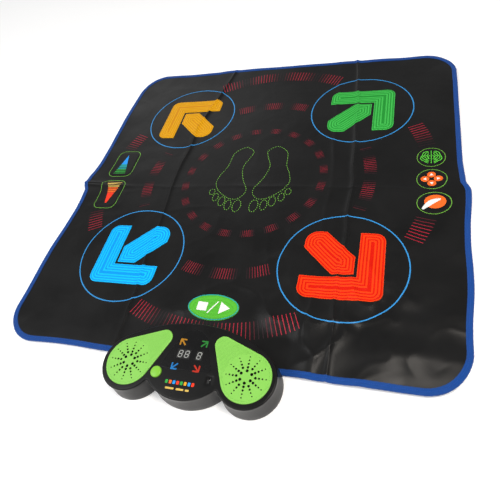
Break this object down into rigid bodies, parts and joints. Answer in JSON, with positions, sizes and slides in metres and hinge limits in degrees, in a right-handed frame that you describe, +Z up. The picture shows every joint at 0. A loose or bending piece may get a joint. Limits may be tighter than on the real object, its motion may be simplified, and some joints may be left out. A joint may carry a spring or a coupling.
{
  "type": "dance rhythm game mat",
  "caption": "Soft square floor mat with printed pressure pads and raised arrow keys, and a low lobed sound console with speaker grilles clamped to one edge.",
  "frame": {"origin": "centre of the mat's underside, where it lies on the floor", "axes": "+Z up off the floor, +Y from the console across the mat, +X to the right of a player facing away from the console"},
  "size_m": [0.92, 1.0005, 0.0496],
  "materials": {
    "cover_cloth": "satin woven and coated sheet",
    "backing_cloth": "matte non-slip woven backing",
    "binding_tape": "ribbed woven tape",
    "foam": "closed-cell foam",
    "film": "printed polyester film",
    "yellow_print": "printed and coated sheet",
    "green_print": "printed and coated sheet",
    "blue_print": "printed and coated sheet",
    "red_print": "printed and coated sheet",
    "black_print": "printed and coated sheet",
    "contact_sheet": "carbon-coated contact sheet",
    "black_gloss": "polished ABS",
    "grey_case": "fine-textured ABS",
    "green_grille": "satin moulded ABS",
    "smoked_window": "polished smoked acrylic",
    "green_button": "polished ABS",
    "steel": "zinc-plated steel",
    "board": "solder-masked laminate",
    "component": "moulded epoxy",
    "digit": "grey-faced moulded display",
    "led": "clear moulded epoxy",
    "connector": "moulded nylon",
    "tail": "flexible printed film",
    "black_plastic": "moulded ABS",
    "rubber": "moulded rubber",
    "paper": "pressed paper",
    "ferrite": "plated magnet can",
    "cell": "printed steel jacket",
    "wire": "insulated wire"
  },
  "bodies": {
    "mat_and_console": {"cover_sheet": "cover_cloth", "foam_spacer": "foam", "sensor_film": "film", "backing_sheet": "backing_cloth", "edge_binding": "binding_tape", "clamp_bar": "black_plastic", "clamp_screws": "steel", "sensor_tail": "tail", "upper_case": "black_gloss", "lower_case": "grey_case", "left_grille": "green_grille", "right_grille": "green_grille", "display_window": "smoked_window", "main_board": "board", "two_digit_display": "digit", "one_digit_display": "digit", "arrow_leds": "led", "tact_switch": "black_plastic", "slide_switch": "steel", "tail_connector": "connector", "board_components": "component", "board_screws": "steel", "case_screws": "steel", "rubber_feet": "rubber", "left_speaker_frame": "steel", "right_speaker_frame": "steel", "left_speaker_cone": "paper", "right_speaker_cone": "paper", "left_speaker_magnet": "ferrite", "right_speaker_magnet": "ferrite", "speaker_gaskets": "rubber", "battery_cells": "cell", "battery_springs": "steel", "battery_plates": "steel", "speaker_leads": "wire", "battery_leads": "wire"},
    "yellow_arrow_key": {"yellow_arrow_pad": "yellow_print", "yellow_contact": "contact_sheet"},
    "green_arrow_key": {"green_arrow_pad": "green_print", "green_contact": "contact_sheet"},
    "blue_arrow_key": {"blue_arrow_pad": "blue_print", "blue_contact": "contact_sheet"},
    "red_arrow_key": {"red_arrow_pad": "red_print", "red_contact": "contact_sheet"},
    "start_key": {"start_pad": "green_print", "start_contact": "contact_sheet"},
    "volume_up_key": {"volume_up_pad": "black_print", "volume_up_contact": "contact_sheet"},
    "volume_down_key": {"volume_down_pad": "black_print", "volume_down_contact": "contact_sheet"},
    "memory_key": {"memory_pad": "black_print", "memory_contact": "contact_sheet"},
    "pattern_key": {"pattern_pad": "black_print", "pattern_contact": "contact_sheet"},
    "challenge_key": {"challenge_pad": "black_print", "challenge_contact": "contact_sheet"},
    "power_key": {"power_button": "green_button"},
    "sound_switch": {"switch_knob": "black_plastic"},
    "battery_hatch": {"battery_door": "grey_case", "door_screw": "steel"}
  },
  "joints": [
    {"name": "yellow_arrow_press", "type": "slide", "parent": "mat_and_console", "child": "yellow_arrow_key", "axis": [0, 0, -1], "range_m": [0, 0.0015], "stiffness_N_per_m": 2000, "springref_m": -0.001},
    {"name": "green_arrow_press", "type": "slide", "parent": "mat_and_console", "child": "green_arrow_key", "axis": [0, 0, -1], "range_m": [0, 0.0015], "stiffness_N_per_m": 2000, "springref_m": -0.001},
    {"name": "blue_arrow_press", "type": "slide", "parent": "mat_and_console", "child": "blue_arrow_key", "axis": [0, 0, -1], "range_m": [0, 0.0015], "stiffness_N_per_m": 2000, "springref_m": -0.001},
    {"name": "red_arrow_press", "type": "slide", "parent": "mat_and_console", "child": "red_arrow_key", "axis": [0, 0, -1], "range_m": [0, 0.0015], "stiffness_N_per_m": 2000, "springref_m": -0.001},
    {"name": "start_press", "type": "slide", "parent": "mat_and_console", "child": "start_key", "axis": [0, 0, -1], "range_m": [0, 0.0015], "stiffness_N_per_m": 2000, "springref_m": -0.001},
    {"name": "volume_up_press", "type": "slide", "parent": "mat_and_console", "child": "volume_up_key", "axis": [0, 0, -1], "range_m": [0, 0.0015], "stiffness_N_per_m": 2000, "springref_m": -0.001},
    {"name": "volume_down_press", "type": "slide", "parent": "mat_and_console", "child": "volume_down_key", "axis": [0, 0, -1], "range_m": [0, 0.0015], "stiffness_N_per_m": 2000, "springref_m": -0.001},
    {"name": "memory_press", "type": "slide", "parent": "mat_and_console", "child": "memory_key", "axis": [0, 0, -1], "range_m": [0, 0.0015], "stiffness_N_per_m": 2000, "springref_m": -0.001},
    {"name": "pattern_press", "type": "slide", "parent": "mat_and_console", "child": "pattern_key", "axis": [0, 0, -1], "range_m": [0, 0.0015], "stiffness_N_per_m": 2000, "springref_m": -0.001},
    {"name": "challenge_press", "type": "slide", "parent": "mat_and_console", "child": "challenge_key", "axis": [0, 0, -1], "range_m": [0, 0.0015], "stiffness_N_per_m": 2000, "springref_m": -0.001},
    {"name": "power_press", "type": "slide", "parent": "mat_and_console", "child": "power_key", "axis": [0, 0, -1], "range_m": [0, 0.0012], "stiffness_N_per_m": 900, "springref_m": -0.001},
    {"name": "sound_slide", "type": "slide", "parent": "mat_and_console", "child": "sound_switch", "axis": [0, 1, 0], "range_m": [0, 0.005]},
    {"name": "hatch_lift", "type": "slide", "parent": "mat_and_console", "child": "battery_hatch", "axis": [0, 0, -1], "range_m": [0, 0.03]}
  ]
}
